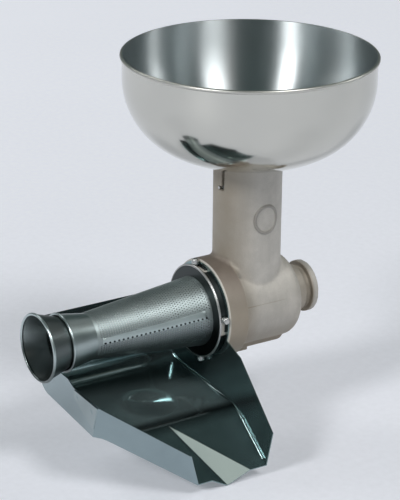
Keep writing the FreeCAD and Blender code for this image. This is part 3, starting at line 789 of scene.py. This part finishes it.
class MILL_OT_tray(bpy.types.Operator):
    """Finishes the folded drip tray"""
    bl_idname = "mill.tray"
    bl_label = "Drip tray"

    def execute(self, context):
        carry(["tray_front_plate"], tray_finish("tray_sheet", finishes().tray, 0.05))
        carry(["tray_corner_tab", "tab_rivets"], tray_finish("tray_tab_sheet", finishes().tray_tab, 0.1))
        sheet = tray_finish("tray_rear_sheet", finishes().tray_inside, 0.1)
        carry(["tray_rear_plate"], sheet)
        carry(["tray_pan"], tray_finish("tray_pan_sheet", finishes().tray_inside, 0.08, -7.0, 1.0))
        points, faces = rear_fold(sizes())
        new_piece("tray_rear_fold", points, faces, sheet, "body")
        return {"FINISHED"}


def pan_stations():
    """Places (x, z) along the pan's inside from its back wall to its spout, each with its way inwards."""
    path = []
    for start, end, steps in zip(PAN_CORNERS, PAN_CORNERS[1:], (8, 40, 24)):
        path += line(start, end, steps)
    easing_passes = 12
    for _ in range(easing_passes):
        inner = zip(path, path[1:-1], path[2:])
        eased = [((a[0] + 2 * b[0] + c[0]) / 4, (a[1] + 2 * b[1] + c[1]) / 4) for a, b, c in inner]
        path = path[:1] + eased + path[-1:]
    stations = []
    for before, here, after in zip(path, path[1:-1], path[2:]):
        way = Vector((before[1] - after[1], after[0] - before[0])).normalized()
        stations.append((here, way))
    return stations


def rear_fold(size):
    """The hollow fold between the pan and the rear plate."""
    radius = size.fold_radius
    steps = 8
    points = []
    for (x, z), inwards in pan_stations():
        section = [(0.0, 0.0)]
        for step in range(steps + 1):
            turn = math.radians(90 * step / steps)
            section.append((radius * (1 - math.sin(turn)), radius * (1 - math.cos(turn))))
        points += [Vector((x + inwards[0] * lift, size.rear_plate_y - out, z + inwards[1] * lift)) * MM
                   for lift, out in section]
    return swept(points, len(section))


class MILL_OT_drive(bpy.types.Operator):
    """Finishes the feed screw, its shaft and its bearings"""
    bl_idname = "mill.drive"
    bl_label = "Drive train"

    def execute(self, context):
        colours = finishes()
        carry(["auger_screw", "thrust_washer"], turned_finish("moulded_screw", colours.plastic, 0.0, 0.4))
        carry(["auger_shaft", "auger_cross_pin"], turned_finish("shaft_steel", colours.steel, 1.0, 0.25))
        carry(["rear_bush"], turned_finish("bush_bronze", colours.bronze, 1.0, 0.35))
        carry(["shaft_seal"], turned_finish("seal_rubber", colours.rubber, 0.0, 0.6))
        return {"FINISHED"}


class MILL_OT_stage(bpy.types.Operator):
    """Lays the pale floor, the soft light and the camera"""
    bl_idname = "mill.stage"
    bl_label = "Stage"

    def execute(self, context):
        lay_floor()
        light_world()
        hang_light("left_softbox", 15, 35, 1.8, 370)
        hang_light("right_softbox", 101, 52, 2.4, 330)
        hang_light("back_card", 166, 32, 1.6, 105)
        hang_light("left_card", -66, 43, 3.0, 120)
        hang_light("side_card", 80, 34, 2.0, 17, (1.0, 0.87, 0.80))
        place_camera(context.scene)
        context.scene.view_settings.view_transform = "Standard"
        return {"FINISHED"}


def lay_floor():
    """A pale floor under the part's lowest point, a little brighter far behind it."""
    reach = FLOOR_REACH
    low = CAD_BOX[0][2]
    corners = [(-reach, -reach, low), (reach, -reach, low), (reach, reach, low), (-reach, reach, low)]
    mesh = bpy.data.meshes.new("studio_floor")
    mesh.from_pydata(corners, [], [(0, 1, 2, 3)])
    floor = bpy.data.objects.new("studio_floor", mesh)
    bpy.context.scene.collection.objects.link(floor)
    made = Finish("studio_floor")
    colour = finishes().floor
    speckle = made.noise(3, 2) * 0.3 + made.noise(140, 6) * 0.7
    made.feed("Base Color", speckle.mix(opaque(colour, 0.9), opaque(colour, 1.1)))
    distant = made.along("X").rise(0, -1430)
    made.feed("Emission Color", distant.mix(opaque(colour), opaque(colour, 1.6)))
    made.set(Roughness=0.6, Emission_Strength=0.27)
    dress(floor, made.material)


def light_world():
    """A dim room, pale at the horizon and dark overhead."""
    world = bpy.data.worlds.new("studio")
    bpy.context.scene.world = world
    world.use_nodes = True
    tree = world.node_tree
    start = Value(tree)
    way = start.node("ShaderNodeTexCoord", output="Generated")
    height = start.node("ShaderNodeSeparateXYZ", {}, {"Vector": way}, "Z")
    stops = [(0.0, (0.28, 0.285, 0.295, 1)), (0.12, (0.14, 0.165, 0.165, 1)),
             (0.4, (0.06, 0.085, 0.083, 1)), (1.0, (0.026, 0.05, 0.048, 1))]
    shade = start.node("ShaderNodeValToRGB", {"stops": stops}, {"Fac": height})
    tree.links.new(shade.socket, tree.nodes["Background"].inputs["Color"])
    tree.nodes["Background"].inputs["Strength"].default_value = 1.0


def outwards(azimuth, elevation):
    """The way out from the object, in degrees from the front towards the spout and above the floor."""
    turn = math.radians(azimuth)
    lift = math.radians(elevation)
    return Vector((math.sin(turn) * math.cos(lift), -math.cos(turn) * math.cos(lift), math.sin(lift)))


def hang_light(name, azimuth, elevation, width, power, colour=(1, 1, 1)):
    """A soft square lamp that looks at the object from a direction in degrees."""
    way = outwards(azimuth, elevation)
    lamp = bpy.data.lights.new(name, "AREA")
    lamp.size = width
    lamp.energy = power
    lamp.color = colour
    holder = bpy.data.objects.new(name, lamp)
    bpy.context.scene.collection.objects.link(holder)
    holder.location = Vector((0, NECK_Y, 100)) * MM + way * LAMP_DISTANCE
    holder.rotation_euler = (-way).to_track_quat("-Z", "Y").to_euler()


def place_camera(scene):
    """Stands the camera where the sidebar's view says, and looks through it."""
    look = scene.mill_view
    turn = math.radians(look.azimuth)
    roll = math.radians(look.roll)
    back = outwards(look.azimuth, look.elevation)
    level = Vector((math.cos(turn), math.sin(turn), 0))
    upright = back.cross(level)
    right = level * math.cos(roll) + upright * math.sin(roll)
    up = upright * math.cos(roll) - level * math.sin(roll)
    lens = bpy.data.cameras.new("camera")
    lens.lens = look.lens
    lens.sensor_width = SENSOR_WIDTH
    camera = bpy.data.objects.new("camera", lens)
    scene.collection.objects.link(camera)
    turned = Matrix((right, up, back)).transposed().to_4x4()
    place = (Vector(look.target) + back * look.distance) * MM
    camera.matrix_world = Matrix.Translation(place) @ turned
    scene.camera = camera


class MILL_PT_panel(bpy.types.Panel):
    """Lists the pieces in the sidebar"""
    bl_idname = "MILL_PT_panel"
    bl_label = "Food mill"
    bl_space_type = "VIEW_3D"
    bl_region_type = "UI"
    bl_category = "Food mill"

    def draw(self, context):
        """Draws a button for each piece."""
        for operator in OPERATORS:
            self.layout.operator(operator.bl_idname)


GROUPS = {"mill_sizes": MillSizes, "mill_finishes": MillFinishes, "mill_view": MillView}
OPERATORS = (MILL_OT_casting, MILL_OT_hopper, MILL_OT_strainer, MILL_OT_outlet, MILL_OT_cup,
             MILL_OT_tray, MILL_OT_drive, MILL_OT_stage)
CLASSES = tuple(GROUPS.values()) + OPERATORS + (MILL_PT_panel,)


def register():
    """Registers the classes and puts the settings on the scene."""
    for each in CLASSES:
        bpy.utils.register_class(each)
    for name, group in GROUPS.items():
        setattr(bpy.types.Scene, name, PointerProperty(type=group))


def unregister():
    """Takes the settings off the scene and unregisters the classes."""
    for name in GROUPS:
        delattr(bpy.types.Scene, name)
    for each in reversed(CLASSES):
        bpy.utils.unregister_class(each)


def main():
    """Builds the whole part."""
    register()
    bpy.ops.mill.casting()
    bpy.ops.mill.hopper()
    bpy.ops.mill.strainer()
    bpy.ops.mill.outlet()
    bpy.ops.mill.cup()
    bpy.ops.mill.tray()
    bpy.ops.mill.drive()
    bpy.ops.mill.stage()


if __name__ == "__main__":
    main()
